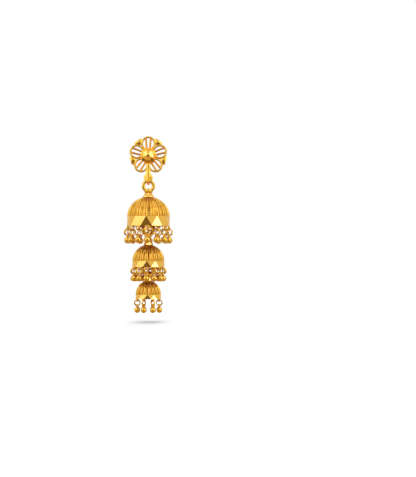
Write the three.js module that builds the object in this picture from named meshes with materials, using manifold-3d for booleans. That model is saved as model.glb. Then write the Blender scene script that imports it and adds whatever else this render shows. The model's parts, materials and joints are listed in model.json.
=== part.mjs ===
// Three-tier jhumka earring, hanging as it is worn. Millimetres, +Z up, front towards -Y.
// The origin is on the post's axis in the middle of the ear lobe. A rosette with a leaf and hook carries
// three ribbed bells, each on its own jump ring, and every bell is fringed with ball drops.

import * as THREE from "three";
import { mergeVertices } from "three/addons/utils/BufferGeometryUtils.js";
import Module from "manifold-3d";

const wasm = await Module();
wasm.setup();

const GAP = 0.08; // running clearance between linked or resting pieces
const LOBE = 4.8; // thickness of the ear lobe between rosette and nut

// Rosette, drawn in its own plane as seen from the front. Petals point along their angle, counted from +X.
const ROSETTE = { thickness: 0.56, hubRadius: 2.0, petals: 5, firstPetal: 90 };
const PETAL = { arcCentre: 3.52, arcRadius: 2.1, arcStart: -25, baseAt: 1.7, baseHalf: 1.25, wire: 0.58 };
const SPOKE = { width: 0.46, aside: 0.45, fan: 4, depth: 0.5 };
const CORNER = { angles: [-18, 54, 126, 198], depth: 0.6, behind: 0.2 };
// Half width of a corner facet at each distance from the rosette's centre.
const CORNER_EDGE = [
  { half: 0.45, height: 3.7 },
  { half: 1.4, height: 4.7 },
  { half: 1.05, height: 5.4 },
];
// Half width of stem and leaf at each height, from the hub down.
const LEAF_EDGE = [
  { half: 0.65, height: -1.6 },
  { half: 0.65, height: -5.0 },
  { half: 1.45, height: -6.47 },
  { half: 1.1, height: -7.05 },
  { half: 0.9, height: -7.54 },
];
const HOOK = { radius: 0.97, wire: 0.36 };

// Turned profiles as shares of radius and height, from the back to the front.
const BOSS = { radius: 2.25, height: 1.45, facets: 10 };
const BOSS_PROFILE = [
  { across: 0, up: 0 },
  { across: 1, up: 0 },
  { across: 1, up: 0.22 },
  { across: 0.84, up: 0.52 },
  { across: 0.68, up: 0.46 },
  { across: 0.42, up: 0.86 },
  { across: 0, up: 1 },
];
const POST = { discRadius: 1.6, disc: 0.4, radius: 0.45, length: 10.2, sides: 16 };
const NUT = { radius: 2.05, rim: 1.15, backRadius: 1.25, thickness: 1.9 };

const RING = { radius: 1.48, wire: 0.5 };
// The bail reaches above and below the middle of the ring's lower wire.
const BAIL = { radius: 0.9, neck: 0.54, above: 0.8, below: 1.45, chamfer: 0.12 };
const PIN = { radius: 0.3, hole: 0.42, collarRadius: 0.62, collar: 0.3, sides: 8 };
const CAP = { sides: 12, sag: 0.2 }; // the cone's rim reaches down round the crown by the sag
const SHELL = { steps: 4, skirt: 0.3, grooveDepth: 0.03 }; // groove depth as a share of the bell's radius
const BAND = { facets: 12, lap: 0.05, step: 0.04, boreSides: 24 };
const EYELET = { wire: 0.17 };
const JUMP = { wire: 0.175, gap: 0.06 };
const LOOP = { wire: 0.15, press: 0.03 };
const BALL = { sink: 0.1, segments: 8, rows: 5 };
// Sides of the wire and segments round the ring, for rings seen close and for the small ones of the fringe.
const LINK_MESH = { sides: 6, segments: 16 };
const JUMP_MESH = { sides: 4, segments: 8 };
const SMALL_MESH = { sides: 4, segments: 6 };

// Heights are counted from the rosette's centre, and turns from the front, in degrees.
const TIERS = [
  {
    ring: -8.79, capRadius: 1.75, coneRadius: 0.97, coneHeight: 1.4, crown: -11.9, domeBase: -17.72,
    radius: 6.18, wall: 0.36, gores: 18, grooveTurn: -6, bandRadius: 6.3, bandBase: -20.47, bandTurn: -4,
    drops: 14, dropTurn: -0.6, dropRadius: 6.15, eyeletIn: 0.1, sink: 0.14, eyelet: 0.6,
    jump: 0.93, jumpOut: 0, slant: 45, loop: 0.4, ball: 0.98,
  },
  {
    ring: -21.5, capRadius: 1.42, coneRadius: 0.95, coneHeight: 1.0, crown: -25.85, domeBase: -30.65,
    radius: 4.66, wall: 0.36, gores: 20, grooveTurn: -5.5, bandRadius: 4.75, bandBase: -32.36, bandTurn: -3,
    drops: 12, dropTurn: -5, dropRadius: 4.36, eyeletIn: 0, sink: 0.29, eyelet: 0.42,
    jump: 0.8, jumpOut: 0.05, slant: 30, loop: 0.42, ball: 0.9,
  },
  {
    ring: -32.9, capRadius: 1.2, coneRadius: 0.95, coneHeight: 0.6, crown: -36.2, domeBase: -40.34,
    radius: 3.7, wall: 0.36, gores: 18, grooveTurn: 6.5, bandRadius: 3.78, bandBase: -41.6, bandTurn: -2,
    drops: 8, dropTurn: 25, dropRadius: 3.45, eyeletIn: 0, sink: 0.29, eyelet: 0.38,
    jump: 0.82, jumpOut: 0.15, slant: 22, loop: 0.38, ball: 0.885,
  },
];

const FLOWER_Y = -(LOBE / 2 + POST.disc + GAP + ROSETTE.thickness / 2); // middle plane of the rosette
const AXIS_Y = FLOWER_Y + HOOK.radius; // the line that the rings and bells hang on
const HOOK_TO_RING = RING.radius - RING.wire - GAP - HOOK.wire; // hook wire above the ring's centre

const gold = new THREE.MeshStandardMaterial({ color: 0xe0a63a, roughness: 0.28, metalness: 1 });
const brightCut = new THREE.MeshStandardMaterial({ color: 0xf0c75e, roughness: 0.12, metalness: 1 });
const deepGold = new THREE.MeshStandardMaterial({ color: 0xd88a1e, roughness: 0.3, metalness: 1 });
const polished = new THREE.MeshStandardMaterial({ color: 0xe8b040, roughness: 0.15, metalness: 1 });

const radians = THREE.MathUtils.degToRad;

// A closed geometry as a solid for joining and cutting.
function solid(geometry) {
  const bare = geometry.clone();
  bare.deleteAttribute("normal");
  bare.deleteAttribute("uv");
  const merged = mergeVertices(bare, 1e-5);
  return new wasm.Manifold(
    new wasm.Mesh({
      numProp: 3,
      vertProperties: new Float32Array(merged.attributes.position.array),
      triVerts: new Uint32Array(merged.index.array),
    }),
  );
}

function joined(solids) {
  return solids.reduce((sum, next) => sum.add(next));
}

function meshOf(name, body, material) {
  const { vertProperties, triVerts } = body.getMesh();
  const geometry = new THREE.BufferGeometry();
  geometry.setAttribute("position", new THREE.BufferAttribute(vertProperties, 3));
  geometry.setIndex(new THREE.BufferAttribute(triVerts, 1));
  geometry.computeVertexNormals();
  const mesh = new THREE.Mesh(geometry, material);
  mesh.name = name;
  return mesh;
}

// An upright wire ring. It faces the front, or the side when it is turned by a quarter.
function wireRing(radius, wire, [x, y, z], turn = 0, mesh = LINK_MESH) {
  const ring = new THREE.TorusGeometry(radius, wire, mesh.sides, mesh.segments);
  return ring.rotateX(Math.PI / 2).rotateZ(radians(turn)).translate(x, y, z);
}

// A solid of revolution about a vertical axis, from a profile of [radius, height].
function turned(profile, segments) {
  const points = profile.map(([radius, height]) => new THREE.Vector2(radius, height));
  return new THREE.LatheGeometry(points, segments).rotateX(Math.PI / 2);
}

// A flat plate standing in the rosette's plane: its outline is drawn as seen from the front.
function plate(shape, thickness, middle) {
  const settings = { depth: thickness, bevelEnabled: false, curveSegments: 8 };
  const geometry = new THREE.ExtrudeGeometry(shape, settings);
  return geometry.translate(0, 0, -thickness / 2).rotateX(Math.PI / 2).translate(0, middle, 0);
}

// A petal is most of a circle, and its two sides run straight in to the hub.
function petalOutline(inset) {
  const start = radians(PETAL.arcStart);
  const shape = new THREE.Shape();
  shape.moveTo(PETAL.baseHalf - inset, PETAL.baseAt);
  shape.absarc(0, PETAL.arcCentre, PETAL.arcRadius - inset, start, Math.PI - start, false);
  shape.lineTo(inset - PETAL.baseHalf, PETAL.baseAt);
  shape.closePath();
  return shape;
}

function petal(angle) {
  const rim = solid(plate(petalOutline(0), ROSETTE.thickness, 0));
  const opening = solid(plate(petalOutline(PETAL.wire), ROSETTE.thickness * 2, 0));
  const length = PETAL.arcCentre + PETAL.arcRadius - PETAL.wire - PETAL.baseAt;
  const spokes = [-1, 1].map((side) => {
    const bar = new THREE.BoxGeometry(SPOKE.width, SPOKE.depth, length).translate(0, 0, length / 2);
    return solid(bar.rotateY(radians(SPOKE.fan * side)).translate(SPOKE.aside * side, 0, PETAL.baseAt));
  });
  return joined([rim.subtract(opening), ...spokes]).rotate([0, 90 - angle, 0]);
}

// A closed outline that is the same on both sides of the middle, from the edge of its right half.
function mirroredShape(edge) {
  const right = edge.map(({ half, height }) => new THREE.Vector2(half, height));
  const left = edge.map(({ half, height }) => new THREE.Vector2(-half, height)).reverse();
  return new THREE.Shape([...right, ...left]);
}

function cornerFacet(angle) {
  const facet = plate(mirroredShape(CORNER_EDGE), CORNER.depth, CORNER.behind);
  return solid(facet).rotate([0, 90 - angle, 0]);
}

function leaf() {
  return solid(plate(mirroredShape(LEAF_EDGE), ROSETTE.thickness, 0));
}

function rosette() {
  const hub = new THREE.CylinderGeometry(ROSETTE.hubRadius, ROSETTE.hubRadius, ROSETTE.thickness, 20);
  const petals = Array.from({ length: ROSETTE.petals }, (_, i) => {
    return petal(ROSETTE.firstPetal + (360 / ROSETTE.petals) * i);
  });
  const hookCentre = TIERS[0].ring + HOOK_TO_RING + HOOK.radius;
  const hook = wireRing(HOOK.radius, HOOK.wire, [0, HOOK.radius, hookCentre], 90);
  const corners = CORNER.angles.map(cornerFacet);
  return joined([solid(hub), ...petals, ...corners, leaf(), solid(hook)]).translate([0, FLOWER_Y, 0]);
}

function centreBoss() {
  const profile = BOSS_PROFILE.map(({ across, up }) => [across * BOSS.radius, up * BOSS.height]);
  const front = FLOWER_Y - ROSETTE.thickness / 2 - GAP;
  return solid(turned(profile, BOSS.facets)).rotate([90, 0, 0]).translate([0, front, 0]);
}

function earPost() {
  const nutAt = POST.disc + LOBE;
  const nutEnd = nutAt + NUT.thickness;
  const profile = [
    [0, 0],
    [POST.discRadius, 0],
    [POST.discRadius, POST.disc],
    [POST.radius, POST.disc],
    [POST.radius, nutAt],
    [NUT.radius, nutAt],
    [NUT.radius, nutAt + NUT.rim],
    [NUT.backRadius, nutEnd],
    [POST.radius, nutEnd],
    [POST.radius, POST.length],
    [0, POST.length],
  ];
  const back = FLOWER_Y + ROSETTE.thickness / 2 + GAP;
  return solid(turned(profile, POST.sides)).rotate([-90, 0, 0]).translate([0, back, 0]);
}

function linkRing(tier) {
  return solid(wireRing(RING.radius, RING.wire, [0, 0, tier.ring]));
}

// A short upright bar between two heights on the bell's own line.
function upright(radius, bottom, top, sides) {
  const bar = new THREE.CylinderGeometry(radius, radius, top - bottom, sides).rotateX(Math.PI / 2);
  return solid(bar.translate(0, 0, (top + bottom) / 2));
}

// The bail grips the ring's lower wire. Its cone stands on the bell, and its pin goes through the crown to
// a collar inside and then, where another bell follows, to an eye for that bell's ring.
function cap(tier, next) {
  const ringWire = tier.ring - RING.radius;
  const base = tier.crown + GAP;
  const coneTop = base + tier.coneHeight;
  const bailTop = ringWire + BAIL.above;
  const bailBase = Math.max(ringWire - BAIL.below, coneTop);
  const profile = [
    [0, base],
    [PIN.hole, base],
    [tier.capRadius, base - CAP.sag],
    [tier.capRadius, base - CAP.sag + BAIL.chamfer],
    [tier.coneRadius, coneTop],
    [BAIL.neck, Math.min(coneTop + BAIL.chamfer, bailBase)],
    [BAIL.neck, bailBase],
    [BAIL.radius, bailBase + BAIL.chamfer],
    [BAIL.radius, bailTop - BAIL.chamfer],
    [BAIL.radius - BAIL.chamfer, bailTop],
    [0, bailTop],
  ];
  const groove = wireRing(RING.radius, RING.wire + GAP, [0, 0, tier.ring]);
  const bail = solid(turned(profile, CAP.sides)).subtract(solid(groove));
  const collarTop = tier.crown - tier.wall - GAP;
  const collar = upright(PIN.collarRadius, collarTop - PIN.collar, collarTop, CAP.sides);
  if (!next) {
    const rivet = upright(PIN.radius, collarTop - PIN.collar / 2, base + BAIL.chamfer, PIN.sides);
    return joined([bail, collar, rivet]);
  }
  const eyeCentre = next.ring + HOOK_TO_RING + HOOK.radius;
  const pin = upright(PIN.radius, eyeCentre + HOOK.radius, base + BAIL.chamfer, PIN.sides);
  const eye = solid(wireRing(HOOK.radius, HOOK.wire, [0, 0, eyeCentre], 90));
  return joined([bail, collar, pin, eye]);
}

// The shell's section: a quarter ellipse outside and inside, and a skirt that laps into the band.
function shellProfile(tier) {
  const rise = tier.crown - tier.domeBase;
  const start = Math.asin(PIN.hole / tier.radius);
  const quarter = (radius, height) => {
    return Array.from({ length: SHELL.steps + 1 }, (_, i) => {
      const angle = THREE.MathUtils.lerp(start, Math.PI / 2, i / SHELL.steps);
      return [Math.sin(angle) * radius, tier.domeBase + Math.cos(angle) * height];
    });
  };
  const outer = quarter(tier.radius, rise);
  const inner = quarter(tier.radius - tier.wall, rise - tier.wall);
  inner[0][0] = PIN.hole;
  const lap = tier.radius - tier.wall / 2;
  const skirt = tier.domeBase - SHELL.skirt;
  const rim = [[lap, tier.domeBase], [lap, skirt], [tier.radius - tier.wall, skirt]];
  return [outer[0], ...inner, ...rim.reverse(), ...outer.reverse()];
}

// The shell in gores: every second meridian is a groove, drawn in most of all half way up.
function goredShell(tier) {
  const shell = turned(shellProfile(tier), tier.gores * 2);
  const rise = tier.crown - tier.domeBase;
  const depth = SHELL.grooveDepth * tier.radius;
  const position = shell.attributes.position;
  for (let i = 0; i < position.count; i += 1) {
    const x = position.getX(i);
    const y = position.getY(i);
    const height = THREE.MathUtils.clamp((position.getZ(i) - tier.domeBase) / rise, 0, 1);
    const meridian = Math.round((Math.atan2(x, -y) / Math.PI) * tier.gores);
    const pull = meridian % 2 ? 0 : depth * Math.sin(Math.PI * height);
    const scale = 1 - pull / Math.hypot(x, y);
    position.setXY(i, x * scale, y * scale);
  }
  return solid(shell.rotateZ(radians(tier.grooveTurn)));
}

// The mirror band: its top corners stand midway between its bottom ones, so its sides are flat triangles.
function mirrorBand(tier) {
  const top = tier.domeBase + BAND.lap;
  const height = top - tier.bandBase;
  const outside = new THREE.CylinderGeometry(tier.radius + BAND.step, tier.bandRadius, height, BAND.facets);
  const position = outside.attributes.position;
  const halfFacet = new THREE.Matrix4().makeRotationY(Math.PI / BAND.facets);
  const corner = new THREE.Vector3();
  for (let i = 0; i < position.count; i += 1) {
    corner.fromBufferAttribute(position, i);
    if (corner.y < 0) {
      corner.applyMatrix4(halfFacet);
      position.setXYZ(i, corner.x, corner.y, corner.z);
    }
  }
  outside.rotateX(Math.PI / 2).rotateZ(radians(tier.bandTurn)).translate(0, 0, (top + tier.bandBase) / 2);
  const bore = (tier.radius - tier.wall - BAND.lap / 2) / Math.cos(Math.PI / BAND.boreSides);
  return solid(outside).subtract(upright(bore, tier.bandBase - height, top + height, BAND.boreSides));
}

function dropAngles(tier) {
  return Array.from({ length: tier.drops }, (_, i) => tier.dropTurn + (360 / tier.drops) * i);
}

function eyeletCentre(tier) {
  return tier.bandBase + tier.sink - EYELET.wire - tier.eyelet;
}

function dome(tier) {
  const eyelets = dropAngles(tier).map((angle) => {
    const place = [0, tier.eyeletIn - tier.dropRadius, eyeletCentre(tier)];
    const ring = wireRing(tier.eyelet, EYELET.wire, place, 0, SMALL_MESH);
    return solid(ring.rotateZ(radians(angle)));
  });
  return joined([goredShell(tier), mirrorBand(tier), ...eyelets]);
}

// The jump rings at the front and back hang at a slant, and those at the sides stand edge-on to the bell.
function slant(tier, angle) {
  const turn = radians(angle);
  return tier.slant * Math.cos(turn) * Math.sign(Math.sin(turn));
}

// A drop hangs through its eyelet: a jump ring, and a ball on a small loop.
function drop(tier, angle) {
  const jumpTop = eyeletCentre(tier) - tier.eyelet + EYELET.wire + JUMP.wire + JUMP.gap;
  const jumpCentre = jumpTop - tier.jump;
  const loopTop = jumpCentre - tier.jump + JUMP.wire + LOOP.wire - LOOP.press;
  const loopCentre = loopTop - tier.loop;
  const ballCentre = loopCentre - tier.loop + BALL.sink - tier.ball;
  const jumpAt = [0, -tier.dropRadius - tier.jumpOut, jumpCentre];
  const jump = wireRing(tier.jump, JUMP.wire, jumpAt, 90 + slant(tier, angle), JUMP_MESH);
  const loop = wireRing(tier.loop, LOOP.wire, [0, -tier.dropRadius, loopCentre], 0, SMALL_MESH);
  const ball = new THREE.SphereGeometry(tier.ball, BALL.segments, BALL.rows).rotateX(Math.PI / 2);
  ball.translate(0, -tier.dropRadius, ballCentre);
  return joined([solid(jump), solid(loop), solid(ball)]).rotate([0, 0, angle]);
}

function hung(body) {
  return body.translate([0, AXIS_Y, 0]);
}

const jhumka = new THREE.Group();
jhumka.add(meshOf("rosette", rosette(), gold));
jhumka.add(meshOf("centre_boss", centreBoss(), deepGold));
jhumka.add(meshOf("ear_post", earPost(), gold));
TIERS.forEach((tier, i) => {
  const number = i + 1;
  jhumka.add(meshOf(`ring_${number}`, hung(linkRing(tier)), polished));
  jhumka.add(meshOf(`cap_${number}`, hung(cap(tier, TIERS[i + 1])), brightCut));
  jhumka.add(meshOf(`dome_${number}`, hung(dome(tier)), gold));
  dropAngles(tier).forEach((angle, k) => {
    const place = String(k + 1).padStart(2, "0");
    jhumka.add(meshOf(`drop_${number}_${place}`, hung(drop(tier, angle)), polished));
  });
});

export default jhumka;
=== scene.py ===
"""Three-tier jhumka earring in yellow gold, hanging as it is worn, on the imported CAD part's frame.

Pieces are drawn in millimetres and brought to metres when they are finished. +Z is up and the front is
towards -Y. The bells hang on one line, and turns round it are counted from the front towards +X.
"""

import json
import math
from types import SimpleNamespace

import bmesh
import bpy
from bpy.props import FloatProperty, FloatVectorProperty, IntProperty, PointerProperty
from mathutils import Matrix, Vector


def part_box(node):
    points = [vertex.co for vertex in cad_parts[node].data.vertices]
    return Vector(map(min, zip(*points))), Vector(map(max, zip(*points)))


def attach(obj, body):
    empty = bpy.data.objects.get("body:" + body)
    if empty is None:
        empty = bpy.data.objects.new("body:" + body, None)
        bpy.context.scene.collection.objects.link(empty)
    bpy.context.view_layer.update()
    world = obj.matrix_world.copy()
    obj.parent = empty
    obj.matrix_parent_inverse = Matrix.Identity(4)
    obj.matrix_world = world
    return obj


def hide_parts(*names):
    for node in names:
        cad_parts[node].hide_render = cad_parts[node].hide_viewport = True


bl_info = {
    "name": "Three-tier jhumka earring",
    "version": (1, 0, 0),
    "blender": (4, 5, 0),
    "location": "3D View > Sidebar > Jhumka",
    "description": "Builds the finished look of a three-tier jhumka earring over its CAD part",
    "category": "Object",
}

MM = 0.001
GAP = 0.08  # running clearance between resting or linked pieces
WELD = 0.0005  # points closer than this are one point
BELLS = 3
HOLE = 0.42  # radius of the hole through a crown
RUNG_DEPTH = 0.12  # how deep a ladder's rungs lie under the tops of its ribs

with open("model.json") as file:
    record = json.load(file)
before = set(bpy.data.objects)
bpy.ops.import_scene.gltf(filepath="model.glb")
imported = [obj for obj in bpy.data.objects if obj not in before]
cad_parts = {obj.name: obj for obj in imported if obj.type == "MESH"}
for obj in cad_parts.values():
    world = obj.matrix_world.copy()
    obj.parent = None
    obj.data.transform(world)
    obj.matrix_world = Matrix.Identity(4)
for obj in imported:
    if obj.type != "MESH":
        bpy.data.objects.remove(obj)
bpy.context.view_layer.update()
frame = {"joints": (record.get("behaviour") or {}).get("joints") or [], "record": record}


def cad_box(node):
    """A CAD node's lowest and highest corner, in millimetres."""
    low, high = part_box(node)
    return low / MM, high / MM


JOINTS = {joint["name"]: Vector(joint["pos_m"]) / MM for joint in frame["joints"]}
BODIES = frame["record"]["behaviour"]["bodies"]
BODY_OF = {node: body for body, nodes in BODIES.items() for node in nodes}
AXIS_Y = JOINTS["bell_1_sway"].y  # the bells' own line
FLOWER_Y = (cad_box("centre_boss")[1].y + cad_box("ear_post")[0].y) / 2  # middle plane of the rosette


# Settings


def length(name, description, millimetres):
    """A length, given here in millimetres."""
    return FloatProperty(
        name=name, description=description, default=millimetres * MM, unit="LENGTH", precision=5
    )


def lengths(name, description, millimetres):
    """One length for each bell, from the top one down."""
    values = [value * MM for value in millimetres]
    return FloatVectorProperty(
        name=name, description=description, default=values, size=BELLS, unit="LENGTH", precision=5
    )


def angle(name, description, degrees):
    return FloatProperty(
        name=name, description=description, default=math.radians(degrees), subtype="ANGLE"
    )


def angles(name, description, degrees):
    values = [math.radians(value) for value in degrees]
    return FloatVectorProperty(
        name=name, description=description, default=values, size=BELLS, unit="ROTATION"
    )


def colour(name, description, value):
    return FloatVectorProperty(
        name=name, description=description, default=value, size=3, subtype="COLOR", min=0, max=1
    )


def share(name, description, value):
    return FloatProperty(
        name=name, description=description, default=value, min=0, max=1, subtype="FACTOR"
    )


def brightness(name, description, value):
    return FloatProperty(name=name, description=description, default=value, min=0)


class FlowerSettings(bpy.types.PropertyGroup):
    """Sizes of the rosette, its centre, leaf and hook"""

    petals: IntProperty(name="Petals", description="Number of open petals", default=5, min=3)
    wire: length("Petal wire", "Width of the wire round a petal", 0.6)
    depth: length("Petal depth", "Depth of the wire round a petal", 0.56)
    arc_centre: length("Petal centre", "Distance of a petal's round end from the middle", 3.52)
    arc_radius: length("Petal radius", "Outer radius of a petal's round end", 2.1)
    arc_start: angle("Petal arc start", "Where a petal's round end starts, from level", -25)
    base_at: length("Petal root", "Distance of a petal's root from the middle", 1.7)
    base_half: length("Petal root half width", "Half the outer width at a petal's root", 1.25)
    spoke: length("Spoke width", "Width of the two spokes in a petal", 0.58)
    spoke_aside: length("Spoke offset", "Distance of a spoke's root from the petal's middle", 0.45)
    spoke_fan: angle("Spoke fan", "Angle of a spoke to the petal's middle", 4)
    hub: length("Hub radius", "Radius of the plate behind the centre", 2.0)
    nugget_raise: length("Corner raise", "Height of a corner facet's point above its edge", 0.38)
    ridge: length("Leaf ridge", "Height of the leaf's ridge above its edges", 0.2)
    slot: length("Leaf line", "Width of the line cut down the leaf's middle", 0.2)
    hook_radius: length("Hook radius", "Radius of the middle of the hook's wire", 0.97)
    hook_wire: length("Hook wire", "Radius of the hook's wire", 0.36)
    boss_radius: length("Centre radius", "Radius of the faceted centre", 2.25)
    boss_height: length("Centre height", "Height of the faceted centre", 1.45)


class PostSettings(bpy.types.PropertyGroup):
    """Sizes of the ear post and its nut"""

    disc: length("Disc radius", "Radius of the disc behind the rosette", 1.6)
    disc_depth: length("Disc depth", "Thickness of the disc", 0.4)
    post: length("Post radius", "Radius of the threaded post", 0.45)
    lobe: length("Lobe gap", "Gap for the ear lobe", 4.8)
    nut: length("Nut radius", "Radius of the nut", 2.05)
    nut_rim: length("Nut rim", "Depth of the nut's knurled rim", 1.15)
    nut_back: length("Nut back radius", "Radius of the nut's back", 1.25)
    nut_depth: length("Nut depth", "Whole depth of the nut", 1.9)
    thread: length("Thread depth", "Depth of the post's thread", 0.05)
    pitch: length("Thread pitch", "Distance from turn to turn", 0.4)


class LinkSettings(bpy.types.PropertyGroup):
    """Sizes of the rings and of the bells' caps"""

    ring_radius: length("Ring radius", "Radius of the middle of a ring's wire", 1.48)
    ring_wire: length("Ring wire", "Radius of a ring's wire", 0.5)
    bail_radius: length("Bail radius", "Outer radius of the bail round a ring's wire", 0.76)
    bail_reach: length("Bail reach", "Half the width of the bail", 0.86)
    pin: length("Pin radius", "Radius of the pin through a crown", 0.3)
    collar: length("Collar radius", "Radius of the collar inside a crown", 0.62)
    collar_depth: length("Collar depth", "Thickness of that collar", 0.3)
    cap_radius: lengths("Cap radius", "Radius of a cap's foot", (1.75, 1.42, 1.2))
    cone_radius: lengths("Cone radius", "Radius of a cap's cone at its top", (0.72, 0.95, 0.95))
    cone_height: lengths("Cone height", "Height of a cap's cone", (1.4, 1.0, 0.6))
    sag: length("Cap sag", "How far a cap's rim reaches down round the crown", 0.24)


class BellSettings(bpy.types.PropertyGroup):
    """Sizes of the bells, each from the top bell down"""

    crown: lengths("Crown", "Depth of each crown below the rosette's middle", (11.9, 25.85, 36.2))
    base: lengths("Dome foot", "Depth of each dome's foot", (17.72, 30.65, 40.34))
    foot: lengths("Band foot", "Depth of each band's lower edge", (20.47, 32.36, 41.6))
    radius: lengths("Dome radius", "Radius of each dome at its foot", (6.18, 4.66, 3.7))
    band_radius: lengths("Band radius", "Radius of each band at its foot", (6.3, 4.75, 3.78))
    wall: length("Wall", "Thickness of the shell, ribs and all", 0.36)
    gores_1: IntProperty(name="Gores of the top bell", description="Ribbed gores", default=18)
    gores_2: IntProperty(name="Gores of the middle bell", description="Ribbed gores", default=20)
    gores_3: IntProperty(name="Gores of the bottom bell", description="Ribbed gores", default=18)
    groove_turn: angles("Groove turn", "Turn of the groove nearest the front", (-6, -5.5, 6.5))
    band_turn: angles("Band turn", "Turn of the facet nearest the front", (-4, -3, -2))
    rib: lengths("Rib", "Radius of a plain rib at the foot", (0.23, 0.19, 0.165))
    rung: lengths("Rung", "Radius of a ladder rung at the foot", (0.17, 0.13, 0.11))
    pitch: lengths("Rung pitch", "Distance from rung to rung", (0.5, 0.34, 0.3))
    backing: length("Sheet depth", "How deep the sheet lies behind the ribs", 0.29)
    facets: IntProperty(name="Band facets", description="Upright facets round a band", default=12)
    step: length("Band step", "How far a band's top stands out from the dome", 0.04)
    lap: length("Band lap", "How far a band reaches up over the dome", 0.05)
    eyelet: lengths("Eyelet", "Radius of the middle of an eyelet's wire", (0.6, 0.42, 0.38))
    eyelet_wire: length("Eyelet wire", "Radius of an eyelet's wire", 0.17)
    sink: lengths("Eyelet sink", "How far an eyelet is let into the band", (0.14, 0.29, 0.29))


class DropSettings(bpy.types.PropertyGroup):
    """Sizes of the ball drops, each from the top bell down"""

    circle: lengths("Drop circle", "Radius of the circle that the drops hang on", (6.15, 4.36, 3.45))
    first: angles("First drop", "Turn of the first drop from the front", (-0.6, -5, 25))
    jump: lengths("Jump ring", "Radius of the middle of a jump ring's wire", (0.93, 0.8, 0.82))
    slant: angles("Slant", "Turn of the jump rings at the front and back", (35, 24, 14))
    jump_wire: length("Jump ring wire", "Radius of a jump ring's wire", 0.185)
    loop: lengths("Loop", "Radius of the middle of the loop on a ball", (0.4, 0.42, 0.38))
    loop_wire: length("Loop wire", "Radius of that loop's wire", 0.2)
    ball: lengths("Ball", "Radius of a ball", (0.98, 0.9, 0.885))
    sink: length("Loop sink", "How far a loop is let into its ball", 0.1)


class FinishSettings(bpy.types.PropertyGroup):
    """Colours and polish of the gold"""

    gold: colour("Gold", "Colour of the worked gold", (0.84, 0.475, 0.053))
    # the colour that the painted shade darkens the gold towards in its hollows
    deep: colour("Painted shade colour", "Colour in recesses", (0.8, 0.28, 0.015))
    # a darker gold for the spokes and for the sheet between the ribs: painted shade
    recess_gold: colour("Recess gold", "Colour of the spokes and under the ribs", (0.72, 0.3, 0.022))
    # the mirror cuts' gold, a paler copy of the same metal: a painted highlight
    pale: colour("Painted highlight gold", "Colour of the mirror cuts", (1.0, 0.57, 0.1))
    orange: colour("Orange gold", "Colour of the rosette's centre", (1.0, 0.42, 0.03))
    # how far from a hollow the painted shade reaches
    recess: length("Painted shade reach", "Width of the gaps that the deep colour fills", 0.5)
    worked_roughness: share("Worked roughness", "Roughness of ribs and wires", 0.2)
    cut_roughness: share("Cut roughness", "Roughness of the mirror cuts", 0.05)
    polished_roughness: share("Polished roughness", "Roughness of rings and balls", 0.06)


class StudioSettings(bpy.types.PropertyGroup):
    """Floor, light and camera"""

    floor_depth: length("Floor depth", "Depth of the floor below the rosette's middle", 48.3)
    floor_size: length("Floor size", "Width of the floor", 6000)
    floor_tone: share("Floor tone", "How pale the floor is", 0.35)
    camera_aside: length("Camera aside", "Distance of the camera to the earring's side", 17.3)
    camera_back: length("Camera distance", "Distance of the camera in front", 400)
    camera_depth: length("Camera depth", "Depth of the camera below the rosette's middle", 34.6)
    camera_pitch: angle("Camera pitch", "Angle of the camera above the level", 1.52)
    lens: FloatProperty(name="Lens", description="Focal length", default=103.5, min=1, unit="CAMERA")
    backdrop: brightness("Backdrop", "Brightness of the background", 1.0)
    room: brightness("Room", "Brightness of the room", 0.8)
    left: brightness("Left softbox", "Brightness of the softbox at the left", 2.05)
    right: brightness("Right softbox", "Brightness of the softbox at the right", 2.55)
    key_turn: angle("Softbox turn", "Turn of the softboxes from the front", 56)
    cool: colour("Cool light", "Colour of the softboxes", (0.4, 0.48, 1.0))
    panel: brightness("Left panel", "Brightness of the panel between left softbox and flag", 1.15)
    panel_turn: angle("Panel turn", "Turn of that panel from the front", 38)
    strip: brightness("Right strip", "Brightness of the low strip light at the right", 4.8)
    strip_left: brightness("Left strip", "Brightness of the low strip light at the left", 1.2)
    top: brightness("Top light", "Brightness of the softbox above", 1.5)
    ground: brightness("Ground", "Brightness of the ground that the gold mirrors", 0.62)
    ground_depth: length("Ground depth", "Depth of that ground below the rosette's middle", 90)
    ground_size: length("Ground size", "Width of that ground", 300)
    ground_colour: colour("Ground colour", "Tint of that ground", (1.0, 0.8, 0.55))
    overhead: brightness("Overhead light", "Strength of the light on the floor alone", 7.6)
    overhead_spread: angle("Overhead spread", "Widest tilt of the overhead light to front and back", 60)
    overhead_size: angle("Overhead size", "Apparent size of each overhead light", 32)
    flag: brightness("Flag", "Brightness of the dark flag before the earring", 0.2)
    flag_colour: colour("Flag colour", "Tint of the dark flag", (1.0, 0.8, 0.5))
    flag_width: length("Flag width", "Width of the dark flag", 420)
    flag_aside: length("Flag aside", "Distance of the flag's middle to the earring's side", -75)
    flag_height: length("Flag height", "Height of the dark flag", 265)
    flag_depth: length("Flag depth", "Depth of the flag's middle below the rosette's middle", 117)
    lens_width: length("Lens width", "Width of the black lens before the flag", 142)
    lens_height: length("Lens height", "Height of the black lens", 310)
    lens_depth: length("Lens depth", "Depth of the lens's middle below the rosette's middle", 95)
    lens_aside: length("Lens aside", "Distance of the black lens to the earring's side", 66)


def in_millimetres(group):
    """A group's settings, with its lengths in millimetres, the unit that the pieces are drawn in."""
    settings = {}
    for prop in group.bl_rna.properties:
        if prop.identifier in {"rna_type", "name"}:
            continue
        value = getattr(group, prop.identifier)
        if getattr(prop, "unit", "NONE") == "LENGTH":
            value = [part / MM for part in value] if prop.is_array else value / MM
        settings[prop.identifier] = value
    return SimpleNamespace(**settings)


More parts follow.
